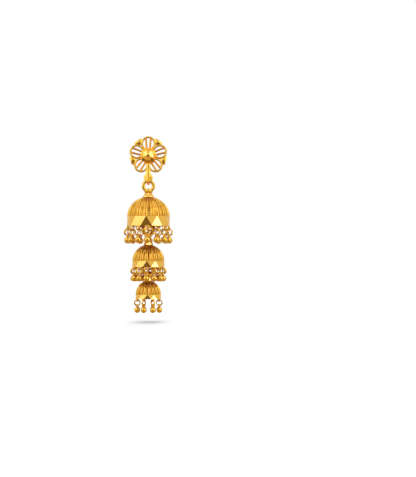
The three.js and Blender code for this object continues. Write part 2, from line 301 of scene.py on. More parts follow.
def sizes_of(group, bell):
    """The same for one bell, with the bell's own value from each list."""
    settings = vars(in_millimetres(group))
    for prop in group.bl_rna.properties:
        if prop.identifier in settings and getattr(prop, "is_array", False):
            settings[prop.identifier] = settings[prop.identifier][bell]
    return SimpleNamespace(**settings)


# Shapes, in millimetres


def everything(bm):
    return bm.verts[:] + bm.edges[:] + bm.faces[:]


def turned(profile, segments, loop=False):
    """A solid of revolution about Z from (radius, height) points. A loop's last point joins its first."""
    bm = bmesh.new()
    verts = [bm.verts.new((radius, 0, height)) for radius, height in profile]
    for pair in zip(verts, verts[1:]):
        bm.edges.new(pair)
    if loop:
        bm.edges.new((verts[-1], verts[0]))
    whole = {"angle": math.tau, "steps": segments, "use_merge": True}
    bmesh.ops.spin(bm, geom=everything(bm), cent=(0, 0, 0), axis=(0, 0, 1), **whole)
    return cleaned(bm)


def cleaned(bm):
    """Welds the seams and turns all faces outwards."""
    bmesh.ops.remove_doubles(bm, verts=bm.verts[:], dist=WELD)
    bmesh.ops.recalc_face_normals(bm, faces=bm.faces[:])
    return bm


def wire_ring(radius, wire, place=None, sides=12, segments=40):
    """A ring of round wire about Z, then put in its place."""
    bm = bmesh.new()
    start = Matrix.Translation((radius, 0, 0)) @ Matrix.Rotation(math.pi / 2, 4, "X")
    bmesh.ops.create_circle(bm, segments=sides, radius=wire, matrix=start)
    whole = {"angle": math.tau, "steps": segments, "use_merge": True}
    bmesh.ops.spin(bm, geom=everything(bm), cent=(0, 0, 0), axis=(0, 0, 1), **whole)
    cleaned(bm)
    if place:
        bm.transform(place)
    return smooth(bm)


def station(point, along, out, half_width, half_depth):
    """Where a bar's unit section stands: across `along`, with its depth towards `out`."""
    z = along.normalized()
    y = (out - out.project(z)).normalized()
    x = y.cross(z)
    turn = Matrix((x * half_width, y * half_depth, z)).transposed().to_4x4()
    return Matrix.Translation(point) @ turn


def bar(stations, sides=8, turn=0.0):
    """A closed bar whose round section passes through every station."""
    bm = bmesh.new()
    start = Matrix.Rotation(turn, 4, "Z")
    bmesh.ops.create_circle(bm, segments=sides, radius=1, matrix=stations[0] @ start)
    edges = bm.edges[:]
    for last, here in zip(stations, stations[1:]):
        grown = bmesh.ops.extrude_edge_only(bm, edges=edges)["geom"]
        verts = [part for part in grown if isinstance(part, bmesh.types.BMVert)]
        edges = [part for part in grown if isinstance(part, bmesh.types.BMEdge) and part.is_boundary]
        bmesh.ops.transform(bm, matrix=here @ last.inverted(), verts=verts)
    bmesh.ops.holes_fill(bm, edges=[edge for edge in bm.edges if edge.is_boundary])
    bmesh.ops.recalc_face_normals(bm, faces=bm.faces[:])
    return smooth(bm)


def bar_along(points, out, half_width, half_depth, **section):
    """A bar of even section along a line of points."""
    stations = []
    for i, point in enumerate(points):
        along = points[min(i + 1, len(points) - 1)] - points[max(i - 1, 0)]
        stations.append(station(point, along, out, half_width, half_depth))
    return bar(stations, **section)


def disc(radius, low, high, soft, segments):
    """A turned disc between two heights, its two edges taken off by `soft`."""
    side = [(radius - soft, low), (radius, low + soft), (radius, high - soft), (radius - soft, high)]
    return smooth(turned([(0, low), *side, (0, high)], segments))


def plate(outline, low, high):
    """A flat plate between two heights, from the points of its outline."""
    bm = bmesh.new()
    face = bm.faces.new([bm.verts.new((x, y, low)) for x, y in outline])
    grown = bmesh.ops.extrude_face_region(bm, geom=[face])["geom"]
    verts = [part for part in grown if isinstance(part, bmesh.types.BMVert)]
    bmesh.ops.translate(bm, verts=verts, vec=(0, 0, high - low))
    bmesh.ops.recalc_face_normals(bm, faces=bm.faces[:])
    return bm


def repeated(bm, count):
    """The shape repeated evenly round Z."""
    rest = {"angle": math.tau * (count - 1) / count, "steps": count - 1, "use_duplicate": True}
    bmesh.ops.spin(bm, geom=everything(bm), cent=(0, 0, 0), axis=(0, 0, 1), **rest)
    return bm


def rounded(bm, edges, width, segments=1):
    """Takes the sharpness off some edges."""
    size = {"offset": width, "offset_type": "OFFSET", "segments": segments, "profile": 0.5}
    bmesh.ops.bevel(bm, geom=edges, affect="EDGES", material=-1, clamp_overlap=True, **size)
    return bm


def sharp_edges(bm, degrees):
    limit = math.radians(degrees)
    return [edge for edge in bm.edges if edge.is_manifold and edge.calc_face_angle() > limit]


def top_face(bm):
    return max(bm.faces, key=lambda face: face.calc_center_median().z)


def joined(parts):
    """Several shapes as one. The parts are used up."""
    whole = bmesh.new()
    for part in parts:
        mesh = bpy.data.meshes.new("part")
        part.to_mesh(mesh)
        part.free()
        whole.from_mesh(mesh)
        bpy.data.meshes.remove(mesh)
    return whole


def smooth(bm):
    """Shades the shape's faces as one rounded surface."""
    for face in bm.faces:
        face.smooth = True
    return bm


def painted(bm, material):
    """Gives all the shape's faces the piece's material of that number."""
    for face in bm.faces:
        face.material_index = material
    return bm


def finish_piece(bm, name, node, materials, smooth_below=35):
    """Makes the shape a piece that stands for the CAD node and moves with its body."""
    bmesh.ops.scale(bm, vec=(MM, MM, MM), verts=bm.verts[:])
    mesh = bpy.data.meshes.new(name)
    bm.to_mesh(mesh)
    bm.free()
    mesh.set_sharp_from_angle(angle=math.radians(smooth_below))
    for material in materials:
        mesh.materials.append(material)
    piece = bpy.data.objects.new(name, mesh)
    bpy.context.scene.collection.objects.link(piece)
    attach(piece, BODY_OF[node])
    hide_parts(node)
    return piece


# Node groups and materials


def new_group(name, inputs, outputs):
    """An empty shader node group with its sockets, its input and its output node."""
    group = bpy.data.node_groups.new(name, "ShaderNodeTree")
    kinds = {"value": "NodeSocketFloat", "colour": "NodeSocketColor", "vector": "NodeSocketVector"}
    for label, kind, default in inputs:
        socket = group.interface.new_socket(name=label, in_out="INPUT", socket_type=kinds[kind])
        if default is not None:
            socket.default_value = default
    for label, kind in outputs:
        group.interface.new_socket(name=label, in_out="OUTPUT", socket_type=kinds[kind])
    return group, group.nodes.new("NodeGroupInput"), group.nodes.new("NodeGroupOutput")


def feed(tree, socket, source):
    """Links another node's socket to this one, or sets a plain value on it."""
    if isinstance(source, bpy.types.NodeSocket):
        tree.links.new(source, socket)
    else:
        socket.default_value = source


def node(tree, kind, inputs=None, **settings):
    """Adds a node, sets it up and then feeds its inputs, given by name or number."""
    made = tree.nodes.new(kind)
    for key, value in settings.items():
        setattr(made, key, value)
    for key, source in (inputs or {}).items():
        feed(tree, made.inputs[key], source)
    return made


def ranged(tree, value, low, high, to_low, to_high):
    """The value brought from one range to another."""
    ends = {"Value": value, "From Min": low, "From Max": high, "To Min": to_low, "To Max": to_high}
    return node(tree, "ShaderNodeMapRange", ends).outputs["Result"]


def noise(tree, vector, scale, detail=3.0, roughness=0.55):
    settings = {"Vector": vector, "Scale": scale, "Detail": detail, "Roughness": roughness}
    return node(tree, "ShaderNodeTexNoise", settings).outputs["Fac"]


def mixed(tree, factor, first, second):
    """A mix of two colours."""
    mix = node(tree, "ShaderNodeMix", data_type="RGBA")
    for number, value in ((0, factor), (6, first), (7, second)):
        feed(tree, mix.inputs[number], value)
    return mix.outputs[2]


def new_material(name):
    """An empty node material and its tree."""
    material = bpy.data.materials.new(name)
    material.use_nodes = True
    material.node_tree.nodes.clear()
    return material, material.node_tree


def painted_shade_group():
    """Painted shade: how far into a hollow the surface lies, found by ambient occlusion, and the gold
    darkened towards the shade colour there.
    """
    inputs = [
        ("Open colour", "colour", (1, 1, 1, 1)),
        ("Deep colour", "colour", (0, 0, 0, 1)),
        ("Reach", "value", 0.0005),
        ("Least", "value", 0.35),
        ("Most", "value", 0.9),
    ]
    group, given, result = new_group("Recess tone", inputs, [("Colour", "colour"), ("Mask", "value")])
    occlusion = node(group, "ShaderNodeAmbientOcclusion", {"Distance": given.outputs["Reach"]})
    occlusion.samples = 8
    openness = ranged(
        group, occlusion.outputs["AO"], given.outputs["Least"], given.outputs["Most"], 0.0, 1.0
    )
    # painted shade: the open gold, darkened where occlusion is high
    tone = mixed(group, openness, given.outputs["Deep colour"], given.outputs["Open colour"])
    group.links.new(tone, result.inputs["Colour"])
    group.links.new(openness, result.inputs["Mask"])
    return group


def polish_group():
    """Fine marks of the polishing brush: a height for the bump and a share of extra roughness."""
    inputs = [("Vector", "vector", None), ("Grain", "value", 6.0), ("Stretch", "value", 5.0)]
    group, given, result = new_group("Polish marks", inputs, [("Height", "value"), ("Dull", "value")])
    stretch = node(group, "ShaderNodeCombineXYZ", {"X": 1.0, "Y": 1.0, "Z": given.outputs["Stretch"]})
    long_way = node(
        group,
        "ShaderNodeVectorMath",
        {0: given.outputs["Vector"], 1: stretch.outputs[0]},
        operation="MULTIPLY",
    ).outputs[0]
    fine = noise(group, long_way, given.outputs["Grain"], detail=4.0, roughness=0.6)
    patch = noise(group, given.outputs["Vector"], 0.9, detail=2.0)
    group.links.new(fine, result.inputs["Height"])
    group.links.new(ranged(group, patch, 0.35, 0.7, 0.0, 1.0), result.inputs["Dull"])
    return group


def worked_group():
    """Uneven handwork: the slow waver of bent and soldered wire."""
    inputs = [("Vector", "vector", None), ("Size", "value", 1.4)]
    group, given, result = new_group("Handwork", inputs, [("Height", "value"), ("Tone", "value")])
    waver = noise(group, given.outputs["Vector"], given.outputs["Size"], detail=1.5)
    tone = noise(group, given.outputs["Vector"], 0.45, detail=2.0)
    group.links.new(waver, result.inputs["Height"])
    group.links.new(ranged(group, tone, 0.3, 0.7, 0.0, 1.0), result.inputs["Tone"])
    return group


def rgba(value):
    return (*value, 1.0)


def gold_material(name, groups, finish, look):
    """Gold with polish marks, handwork and painted shade in its recesses."""
    material, tree = new_material(name)
    output = node(tree, "ShaderNodeOutputMaterial")
    place = node(tree, "ShaderNodeTexCoord").outputs["Object"]
    scaled = node(tree, "ShaderNodeMapping", {"Vector": place, "Scale": (1 / MM,) * 3}).outputs[0]

    tones = {
        "Open colour": rgba(look.open),
        "Deep colour": rgba(look.deep),
        "Reach": finish.recess * MM,
        "Least": look.least,
        "Most": look.most,
    }
    # painted shade: the gold darkens in its hollows
    recess = node(tree, "ShaderNodeGroup", tones, node_tree=groups.recess)
    strokes = {"Vector": scaled, "Grain": look.grain, "Stretch": look.stretch}
    polish = node(tree, "ShaderNodeGroup", strokes, node_tree=groups.polish)
    wavers = {"Vector": scaled, "Size": look.waver_size}
    handwork = node(tree, "ShaderNodeGroup", wavers, node_tree=groups.worked)

    darker = rgba([channel * look.shade for channel in look.open])
    amount = ranged(tree, handwork.outputs["Tone"], 0.0, 1.0, 0.0, look.variation)
    base = mixed(tree, amount, recess.outputs["Colour"], darker)

    dull = ranged(
        tree, polish.outputs["Dull"], 0.0, 1.0, look.roughness * 0.8, look.roughness * 1.25
    )
    waver = node(
        tree,
        "ShaderNodeBump",
        {"Height": handwork.outputs["Height"], "Strength": 1.0, "Distance": look.waver * MM},
    )
    marks = node(
        tree,
        "ShaderNodeBump",
        {
            "Height": polish.outputs["Height"],
            "Strength": 1.0,
            "Distance": look.marks * MM,
            "Normal": waver.outputs["Normal"],
        },
    )
    shader = node(
        tree,
        "ShaderNodeBsdfPrincipled",
        {"Base Color": base, "Roughness": dull, "Normal": marks.outputs["Normal"]},
    )
    shader.inputs["Metallic"].default_value = 1.0
    tree.links.new(shader.outputs[0], output.inputs["Surface"])
    return material


def gold_finishes(context):
    """The finishes of the earring, each made once."""
    finish = in_millimetres(context.scene.jhumka_finish)
    names = ("Worked gold", "Recess gold", "Mirror cut gold", "Polished gold", "Orange gold", "Plain gold")
    if names[0] in bpy.data.materials:
        made = [bpy.data.materials[name] for name in names]
    else:
        groups = SimpleNamespace(recess=painted_shade_group(), polish=polish_group(), worked=worked_group())
        common = {
            "open": finish.gold,
            "deep": finish.deep,
            "least": 0.15,
            "most": 0.7,
            "grain": 6.0,
            "stretch": 4.0,
            "waver_size": 1.4,
            "waver": 0.006,
            "marks": 0.001,
            "shade": 0.86,
            "variation": 0.5,
            "roughness": finish.worked_roughness,
        }
        looks = [
            {},
            # the darker gold: painted shade for the spokes and the sheet under the ribs
            {"open": finish.recess_gold, "roughness": finish.worked_roughness * 1.3},
            # the mirror cuts: the paler gold, a painted highlight
            {
                "open": finish.pale,
                "deep": finish.gold,
                "roughness": finish.cut_roughness,
                "waver": 0.002,
                "marks": 0.0004,
                "variation": 0.2,
            },
            # rings and balls: the painted shade in their hollows is orange
            {
                "deep": finish.orange,
                "roughness": finish.polished_roughness,
                "waver": 0.003,
                "marks": 0.0004,
                "most": 0.4,
            },
            {"open": finish.orange, "roughness": finish.worked_roughness, "waver": 0.006},
            {"roughness": finish.polished_roughness * 2, "waver": 0.01, "marks": 0.0015},
        ]
        made = [
            gold_material(name, groups, finish, SimpleNamespace(**{**common, **look}))
            for name, look in zip(names, looks)
        ]
    keys = ("worked", "recess", "cut", "polished", "orange", "plain")
    return SimpleNamespace(**dict(zip(keys, made)))


# Rosette


FACING_FRONT = Matrix.Translation((0, FLOWER_Y, 0)) @ Matrix.Rotation(math.pi / 2, 4, "X")
TOWARDS_VIEWER = Vector((0, 0, 1))  # while the rosette is drawn lying flat
NUGGET_ANGLES = (-18, 54, 126, 198)
# Outlines of the centre from the axis out and back, as shares of its radius and height.
BOSS_RIM = ((0, 0), (1, 0), (1, 0.12), (0.96, 0.25), (0.86, 0.36), (0.74, 0.42), (0, 0.42))
BOSS_CROWN = ((0, 0.3), (0.76, 0.3), (0.72, 0.52), (0.24, 0.92), (0, 1))
BOSS_SIDES = 8
BOSS_FLATS = ((222, 0.95), (318, 0.95), (270, 0.5))  # turn and width of the flats cut into the centre's rim
BOSS_FLAT_TILT = math.radians(5)  # the flats face a little to the left
BOSS_FLAT_DOWN = math.radians(9)  # and down
NUGGET_OUTLINE = ((0.45, 3.7), (1.4, 4.7), (1.05, 5.4), (-1.05, 5.4), (-1.4, 4.7), (-0.45, 3.7))
NUGGET_POINT = (0.2, 4.75)
BOSS_FLAT_REACH = 0.74  # distance of the flats from the centre, as a share of its radius
NUGGET_EDGE = 0.06  # height of a corner facet's edge
ROOT_SINK = 0.3  # how far a petal's wire reaches into the hub
LEAF_LAP = 0.05  # how far the sheet under the leaf's cut line reaches below each half
# Half width of stem and leaf at each height, from the hub down.
LEAF_EDGE = ((0.65, -1.6), (0.65, -5.0), (1.45, -6.47), (1.1, -7.05), (0.9, -7.54))


def petal(flower):
    """One open petal pointing up: its wire, bent round, and the two spokes in it."""
    radius = flower.arc_radius - flower.wire / 2
    root = flower.base_half - flower.wire / 2
    bends = 22
    sweep = math.pi - 2 * flower.arc_start
    arc = [flower.arc_start + sweep * i / bends for i in range(bends + 1)]
    points = [Vector((root, flower.base_at - ROOT_SINK, 0)), Vector((root, flower.base_at, 0))]
    points += [
        Vector((radius * math.cos(turn), flower.arc_centre + radius * math.sin(turn), 0)) for turn in arc
    ]
    points += [Vector((-root, flower.base_at, 0)), Vector((-root, flower.base_at - ROOT_SINK, 0))]
    rim = bar_along(points, TOWARDS_VIEWER, flower.wire / 2, flower.depth / 2, sides=12, turn=math.pi / 12)
    spokes = []
    reach = flower.arc_centre + flower.arc_radius - flower.wire - flower.base_at + 0.1
    for side in (-1, 1):
        fan = flower.spoke_fan * side
        foot = Vector((flower.spoke_aside * side, flower.base_at - 0.2, 0))
        tip = foot + Vector((math.sin(fan), math.cos(fan), 0)) * (reach + 0.2)
        line = [foot.lerp(tip, i / 4) for i in range(5)]
        half = flower.spoke / 2
        # The spokes take the darker gold: painted shade and painted dark reflection.
        spokes.append(painted(bar_along(line, TOWARDS_VIEWER, half, flower.depth * 0.42, sides=8), 1))
    return joined([rim, *spokes])


def nugget(flower, degrees):
    """A cut facet between two petals, raised to a point."""
    bm = plate(NUGGET_OUTLINE, -flower.depth / 2, NUGGET_EDGE)
    top = top_face(bm)
    centre = bmesh.ops.poke(bm, faces=[top], offset=0)["verts"][0]
    centre.co = Vector((*NUGGET_POINT, NUGGET_EDGE + flower.nugget_raise))
    rounded(bm, sharp_edges(bm, 12), 0.035)
    bm.transform(Matrix.Rotation(math.radians(degrees - 90), 4, "Z"))
    return bm


def stem_and_leaf(flower):
    """The stem and leaf below the rosette: two sloping halves with a cut line between them."""
    inner, back = flower.slot / 2, -flower.depth / 2
    edge = flower.depth / 2 - 0.12
    top, bottom = LEAF_EDGE[0][1], LEAF_EDGE[-1][1]
    under = inner + LEAF_LAP
    parts = [plate([(under, top), (under, bottom), (-under, bottom), (-under, top)], back, 0)]
    for side in (-1, 1):
        outline = [(inner * side, top)] + [(half * side, height) for half, height in LEAF_EDGE]
        bm = plate([*outline, (inner * side, bottom)], back, edge)
        ridge = [vert for vert in bm.verts if abs(vert.co.x) < inner + WELD and vert.co.z > 0]
        bmesh.ops.translate(bm, verts=ridge, vec=(0, 0, flower.ridge))
        parts.append(rounded(bm, sharp_edges(bm, 15), 0.04))
    return joined(parts)


def flower_shape(flower):
    rim = cleaned(repeated(petal(flower), flower.petals))
    half = flower.depth / 2
    soft = 0.08
    hub_side = [(flower.hub, -half), (flower.hub, half - soft), (flower.hub - soft, half)]
    hub = turned([(0, -half), *hub_side, (0, half)], 48)
    nuggets = [nugget(flower, degrees) for degrees in NUGGET_ANGLES]
    flat = joined([rim, hub, *nuggets, stem_and_leaf(flower)])
    flat.transform(FACING_FRONT)
    low = cad_box("rosette")[0].z
    place = Matrix.Translation((0, AXIS_Y, low + flower.hook_radius + flower.hook_wire))
    hook = wire_ring(flower.hook_radius, flower.hook_wire, place @ Matrix.Rotation(math.pi / 2, 4, "Y"))
    return joined([flat, painted(hook, 2)])


class JHUMKA_OT_rosette(bpy.types.Operator):
    """Builds the open rosette with its leaf and hook"""

    bl_idname = "jhumka.rosette"
    bl_label = "Rosette"

    def execute(self, context):
        flower = in_millimetres(context.scene.jhumka_flower)
        gold = gold_finishes(context)
        materials = [gold.worked, gold.recess, gold.orange]
        finish_piece(flower_shape(flower), "open_rosette", "rosette", materials)
        return {"FINISHED"}


class JHUMKA_OT_centre(bpy.types.Operator):
    """Builds the faceted centre of the rosette"""

    bl_idname = "jhumka.centre"
    bl_label = "Rosette centre"

    def execute(self, context):
        flower = in_millimetres(context.scene.jhumka_flower)
        gold = gold_finishes(context)
        radius, height = flower.boss_radius, flower.boss_height
        rim, crown = (
            turned([(radius * across, height * up) for across, up in profile], sides)
            for profile, sides in ((BOSS_RIM, 48), (BOSS_CROWN, BOSS_SIDES))
        )
        crown.transform(Matrix.Rotation(math.pi / BOSS_SIDES, 4, "Z"))
        rounded(crown, sharp_edges(crown, 12), 0.03)
        flats = [self.cut_flat(radius, height, turn, size) for turn, size in BOSS_FLATS]
        base = cad_box("centre_boss")[1].y
        shape = joined([painted(smooth(rim), 0), painted(crown, 1), *flats])
        shape.transform(Matrix.Translation((0, base, 0)) @ Matrix.Rotation(math.pi / 2, 4, "X"))
        # The crown and its flats take the paler mirror cut gold: a painted highlight.
        finish_piece(shape, "faceted_centre", "centre_boss", [gold.orange, gold.cut], 12)
        return {"FINISHED"}

    def cut_flat(self, radius, height, degrees, size):
        """A small flat cut into the rim. It faces the front, a little left and down."""
        half = size / 2
        outline = [(-half, -half), (half, -half), (half, half), (-half, half)]
        bm = plate(outline, height * 0.2, height * 0.62)
        rounded(bm, sharp_edges(bm, 60), 0.03)
        about = math.radians(degrees)
        bm.transform(Matrix.Rotation(about, 4, "Z"))
        bm.transform(Matrix.Rotation(BOSS_FLAT_DOWN, 4, "X") @ Matrix.Rotation(-BOSS_FLAT_TILT, 4, "Y"))
        reach = radius * BOSS_FLAT_REACH
        bm.transform(Matrix.Translation((reach * math.cos(about), reach * math.sin(about), 0)))
        return painted(bm, 1)


POST_SOFT = 0.08  # how much the edges of disc and nut are rounded
POST_SINK = 0.05  # how far the post reaches into its disc
NUT_TEETH = 64  # points round the nut: every other one lies deeper
NUT_TOOTH = 0.03  # how much deeper, as a share of the nut's radius


class JHUMKA_OT_post(bpy.types.Operator):
    """Builds the ear post with its nut"""

    bl_idname = "jhumka.post"
    bl_label = "Post and nut"

    def execute(self, context):
        sizes = in_millimetres(context.scene.jhumka_post)
        gold = gold_finishes(context)
        low, high = cad_box("ear_post")
        back = disc(sizes.disc, 0, sizes.disc_depth, POST_SOFT, 48)
        shape = joined([back, self.rod(sizes, high.y - low.y), self.nut(sizes)])
        shape.transform(Matrix.Translation((0, low.y, 0)) @ Matrix.Rotation(-math.pi / 2, 4, "X"))
        finish_piece(shape, "threaded_post", "ear_post", [gold.plain], 30)
        return {"FINISHED"}

    def rod(self, sizes, end):
        """The threaded post, thinner at its tip."""
        root = sizes.post - sizes.thread
        turns = int((end - sizes.disc_depth - sizes.post) / sizes.pitch)
        profile = [(0, sizes.disc_depth - POST_SINK)]
        for i in range(turns):
            start = sizes.disc_depth + i * sizes.pitch
            profile += [(root, start), (sizes.post, start + sizes.pitch / 2)]
        profile += [(root, end - sizes.post * 0.7), (sizes.post * 0.5, end - 0.06), (0, end)]
        return smooth(turned(profile, 24))

    def nut(self, sizes):
        """The screw nut, with teeth round its rim."""
        start = sizes.disc_depth + sizes.lobe
        end = start + sizes.nut_depth
        profile = [
            (0, start),
            (sizes.nut - POST_SOFT, start),
            (sizes.nut, start + POST_SOFT),
            (sizes.nut, start + sizes.nut_rim - POST_SOFT),
            (sizes.nut - POST_SOFT * 2, start + sizes.nut_rim),
            (sizes.nut_back + 0.1, end - POST_SOFT),
            (sizes.nut_back, end),
            (0, end),
        ]
        nut = turned(profile, NUT_TEETH)
        for vert in nut.verts:
            if math.hypot(vert.co.x, vert.co.y) > sizes.nut - 0.01:
                tooth = round(math.atan2(vert.co.y, vert.co.x) / math.tau * NUT_TEETH) % 2
                scale = 1 - NUT_TOOTH * tooth
                vert.co.x *= scale
                vert.co.y *= scale
        return smooth(nut)


# Rings, caps and bells


def number_of(bell):
    return str(bell + 1)


def ring_centre(bell):
    return JOINTS[f"bell_{number_of(bell)}_sway"]


def on_axis(height=0.0):
    return Matrix.Translation((0, AXIS_Y, height))


def bail(links, ring):
    """The bored barrel round the ring's lower wire. It curves with the ring."""
    bm = bmesh.new()
    sides = 8
    bore = (links.ring_wire + GAP) / math.cos(math.pi / sides)
    turn = Matrix.Rotation(math.pi / 2, 4, "Y")
    for radius in (links.bail_radius, bore):
        place = Matrix.Translation((0, 0, -links.ring_radius)) @ turn
        bmesh.ops.create_circle(bm, segments=sides, radius=radius, matrix=place)
    bmesh.ops.bridge_loops(bm, edges=bm.edges[:])
    reach = math.asin(links.bail_reach / links.ring_radius)
    bm.transform(Matrix.Rotation(-reach, 4, "Y"))
    swing = {"cent": (0, 0, 0), "axis": (0, 1, 0), "angle": 2 * reach, "steps": 8}
    bmesh.ops.spin(bm, geom=everything(bm), **swing)
    cleaned(bm)
    rounded(bm, sharp_edges(bm, 60), 0.06, segments=2)
    bm.transform(Matrix.Translation(ring))
    return bm


def cone(links, crown, ring_bottom):
    """The cap's faceted cone, with one ridge to the front, and the neck up to the bail."""
    base = crown + GAP
    top = base + links.cone_height
    chamfer = 0.12
    seat = ring_bottom - GAP
    rim = base - links.sag
    profile = [(0, base), (HOLE, base), (links.cap_radius, rim), (links.cap_radius, rim + chamfer)]
    if top > seat:
        slope = (links.cap_radius - links.cone_radius) / (top - rim - chamfer)
        profile += [(links.cap_radius - slope * (seat - rim - chamfer), seat), (0, seat)]
    else:
        waist = links.cone_radius * 0.72
        profile += [
            (links.cone_radius, top),
            (waist, top + chamfer),
            (waist, top + 2 * chamfer),
            (links.bail_radius, top + 4 * chamfer),
            (links.bail_radius, seat),
            (0, seat),
        ]
    bm = turned(profile, 8)
    return rounded(bm, sharp_edges(bm, 12), 0.09)


def cap_shape(links, flower, bells, bell):
    ring = ring_centre(bell)
    crown = -bells.crown
    ring_bottom = ring.z - links.ring_radius - links.ring_wire
    parts = [bail(links, ring)]
    foot = cone(links, crown, ring_bottom)
    foot.transform(on_axis())
    parts.append(foot)
    collar_top = crown - bells.wall - GAP
    low = cad_box(f"cap_{number_of(bell)}")[0].z
    eye = bell + 1 < BELLS
    pin_end = low + 2 * flower.hook_radius if eye else collar_top - links.collar_depth / 2
    pin = turned([(0, pin_end), (links.pin, pin_end), (links.pin, crown + 0.2), (0, crown + 0.2)], 16)
    collar = disc(links.collar, collar_top - links.collar_depth, collar_top, 0.06, 24)
    for part in (pin, collar):
        part.transform(on_axis())
        parts.append(smooth(part))
    if eye:
        place = on_axis(low + flower.hook_radius + flower.hook_wire) @ Matrix.Rotation(math.pi / 2, 4, "Y")
        parts.append(wire_ring(flower.hook_radius, flower.hook_wire, place))
    return joined(parts)


class JHUMKA_OT_links(bpy.types.Operator):
    """Builds the rings and the cap of each bell, with its bail, cone and eye"""

    bl_idname = "jhumka.links"
    bl_label = "Rings and caps"

    def execute(self, context):
        scene = context.scene
        gold = gold_finishes(context)
        flower = in_millimetres(scene.jhumka_flower)
        for bell in range(BELLS):
            number = number_of(bell)
            links = sizes_of(scene.jhumka_links, bell)
            place = Matrix.Translation(ring_centre(bell)) @ Matrix.Rotation(math.pi / 2, 4, "X")
            ring = wire_ring(links.ring_radius, links.ring_wire, place, sides=16, segments=56)
            finish_piece(ring, f"link_ring_{number}", f"ring_{number}", [gold.polished])
            cap = cap_shape(links, flower, sizes_of(scene.jhumka_bells, bell), bell)
            # The cap takes the paler mirror cut gold: a painted highlight.
            finish_piece(cap, f"bell_cap_{number}", f"cap_{number}", [gold.cut], 20)
        return {"FINISHED"}


def dome_point(bells, rise, turn, inset, azimuth):
    """A point of the dome under its outer face: `turn` runs from the crown to the foot."""
    across = Vector((rise * math.sin(turn), 0, bells.radius * math.cos(turn))).normalized()
    radius = bells.radius * math.sin(turn) - across.x * inset
    height = -bells.base + rise * math.cos(turn) - across.z * inset
    point = Vector((radius * math.sin(azimuth), -radius * math.cos(azimuth), height))
    out = Vector((across.x * math.sin(azimuth), -across.x * math.cos(azimuth), across.z))
    return point, out


def rib(bells, rise, half_gore, side):
    """A plain rib from the crown to the foot. It thins and draws in towards the crown."""
    steps = 14
    start = math.asin(min(1.0, 1.1 / bells.radius))
    stations = []
    for i in range(steps + 1):
        turn = start + (math.pi / 2 - start) * i / steps
        thickness = bells.rib * (0.4 + 0.6 * math.sin(turn))
        aside = half_gore * side * (0.35 + 0.3 * math.sin(turn))
        point, out = dome_point(bells, rise, turn, thickness, aside)
        further, _ = dome_point(bells, rise, turn + 0.01, thickness, aside)
        stations.append(station(point, further - point, out, thickness, thickness))
    return bar(stations, sides=8)


def rungs(bells, rise, half_gore):
    """The ladder between a gore's two ribs. Its rungs thin out towards the crown."""
    arc = math.pi / 4 * (bells.radius + rise)
    count = int(arc / bells.pitch)
    made = []
    for i in range(count):
        turn = math.pi / 2 * (1 - (i + 0.55) / count)
        if turn < 0.5:
            break
        thickness = bells.rung * (0.35 + 0.65 * math.sin(turn) ** 2)
        aside = half_gore * (0.35 + 0.3 * math.sin(turn))
        stations = []
        for step in (-1, 0, 1):
            azimuth = aside * step
            point, out = dome_point(bells, rise, turn, bells.rung + RUNG_DEPTH, azimuth)
            sideways = Vector((math.cos(azimuth), math.sin(azimuth), 0))
            stations.append(station(point, sideways, out, thickness, thickness))
        made.append(bar(stations, sides=6))
    return made


def shell_shape(bells, gores):
    """The dome: a plain shell, and on it the gores with their ribs and ladders."""
    rise = bells.base - bells.crown
    half_gore = math.pi / gores
    ribs = [rib(bells, rise, half_gore, side) for side in (-1, 1)]
    gore = joined([*ribs, *rungs(bells, rise, half_gore)])
    gore.transform(Matrix.Rotation(half_gore, 4, "Z"))
    repeated(gore, gores)
    steps = 14
    start = math.asin(HOLE / bells.radius)
    sheet = []
    for inset in (bells.backing, bells.wall):
        row = []
        for i in range(steps + 1):
            point, _ = dome_point(bells, rise, start + (math.pi / 2 - start) * i / steps, inset, 0)
            row.append((max(HOLE, -point.y), point.z))
        row.append((row[-1][0], -bells.base - 0.25))
        sheet.append(row)
    lining = smooth(turned(sheet[0] + sheet[1][::-1], gores * 4, loop=True))
    # The sheet between the ribs takes the darker gold: painted shade in the grooves.
    shape = joined([painted(gore, 0), painted(lining, 1)])
    shape.transform(on_axis() @ Matrix.Rotation(bells.groove_turn, 4, "Z"))
    return shape


def band_shape(bells):
    """The mirror band: flat facets that point up and down in turn."""
    bm = bmesh.new()
    half = math.pi / bells.facets
    top, foot = -bells.base + bells.lap, -bells.foot

    def corner(turn, radius, height):
        return bm.verts.new((radius * math.sin(turn), -radius * math.cos(turn), height))

    tips = [corner(turn, bells.radius + bells.step, top) for turn in (0, 2 * half)]
    feet = [corner(turn, bells.band_radius, foot) for turn in (-half, half)]
    bm.faces.new((feet[0], feet[1], tips[0]))
    bm.faces.new((feet[1], tips[1], tips[0]))
    cleaned(repeated(bm, bells.facets))
    bmesh.ops.solidify(bm, geom=bm.faces[:], thickness=bells.wall)
    bmesh.ops.recalc_face_normals(bm, faces=bm.faces[:])
    rounded(bm, sharp_edges(bm, 6), 0.03)
    bm.transform(on_axis() @ Matrix.Rotation(bells.band_turn, 4, "Z"))
    return bm


def drop_places(drops, bell):
    """The CAD drops of a bell: name, turn from the front, distance from the axis, top and bottom."""
    names = sorted(name for name in BODIES[f"bell_{number_of(bell)}"] if name.startswith("drop_"))
    places = []
    for i, name in enumerate(names):
        low, high = cad_box(name)
        turn = drops.first + math.tau * i / len(names)
        places.append(SimpleNamespace(name=name, turn=turn, aside=drops.circle, top=high.z, bottom=low.z))
    return places


def hung_at(place):
    """From a drop drawn about the Z axis to its place on the bell."""
    return on_axis() @ Matrix.Rotation(place.turn, 4, "Z") @ Matrix.Translation((0, -place.aside, 0))


